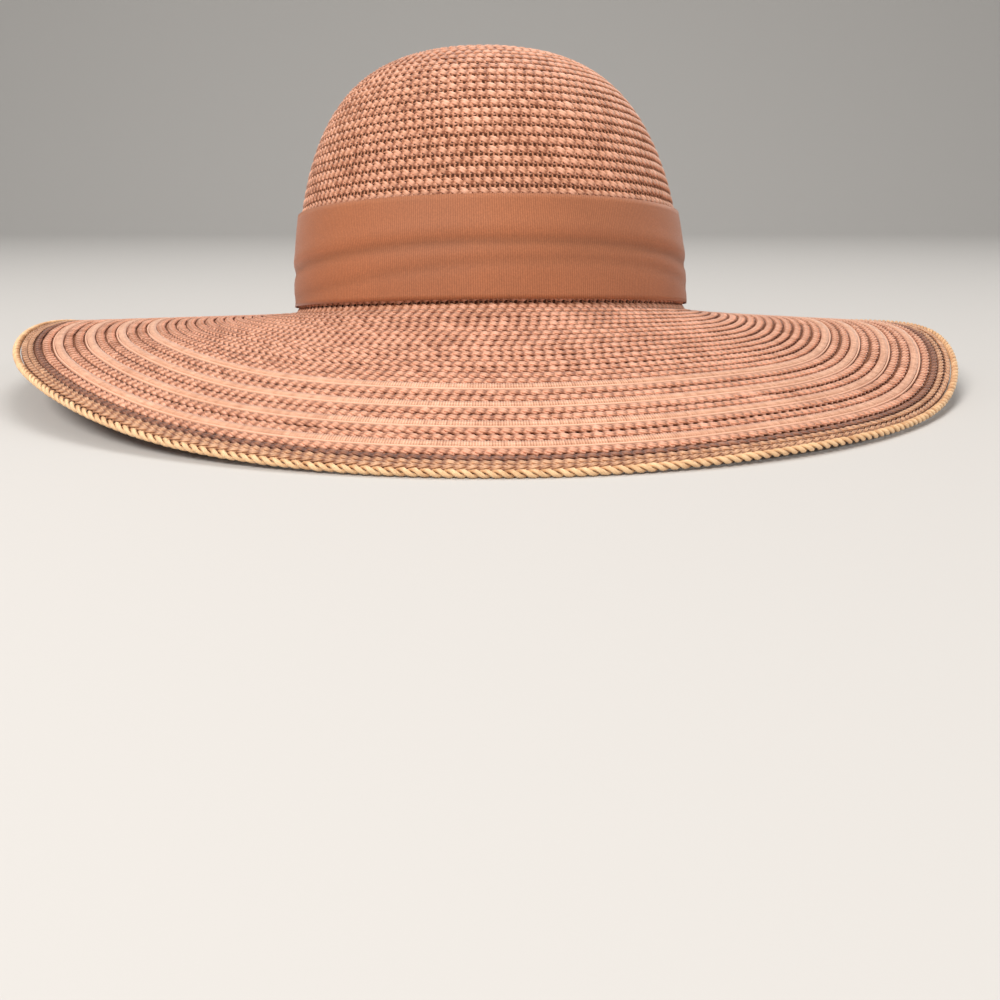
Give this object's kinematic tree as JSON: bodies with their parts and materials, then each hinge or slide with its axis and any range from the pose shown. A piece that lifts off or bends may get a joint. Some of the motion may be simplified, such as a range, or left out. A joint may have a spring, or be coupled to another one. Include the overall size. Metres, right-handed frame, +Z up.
{
  "type": "floppy sun hat",
  "caption": "Wide-brimmed woven straw sun hat with a domed crown, a ribbed ribbon band, a sweatband and a twisted braid round the rim, resting on its brim.",
  "frame": {"origin": "middle of the underside of the object's box, on the surface that the hat rests on", "axes": "+Z up, -Y the front of the hat, +X the wearer's left"},
  "size_m": [0.436, 0.4276, 0.149],
  "materials": {
    "straw": "woven pinkish tan straw with a soft sheen",
    "edge_straw": "twisted golden straw braid",
    "ribbon": "ribbed tan brown ribbon, matt with a faint sheen",
    "sweatband": "dark brown matt tape"
  },
  "bodies": {
    "root": {"crown": "straw", "brim": "straw", "edge_braid": "edge_straw", "hatband": "ribbon", "sweatband": "sweatband"}
  },
  "joints": []
}
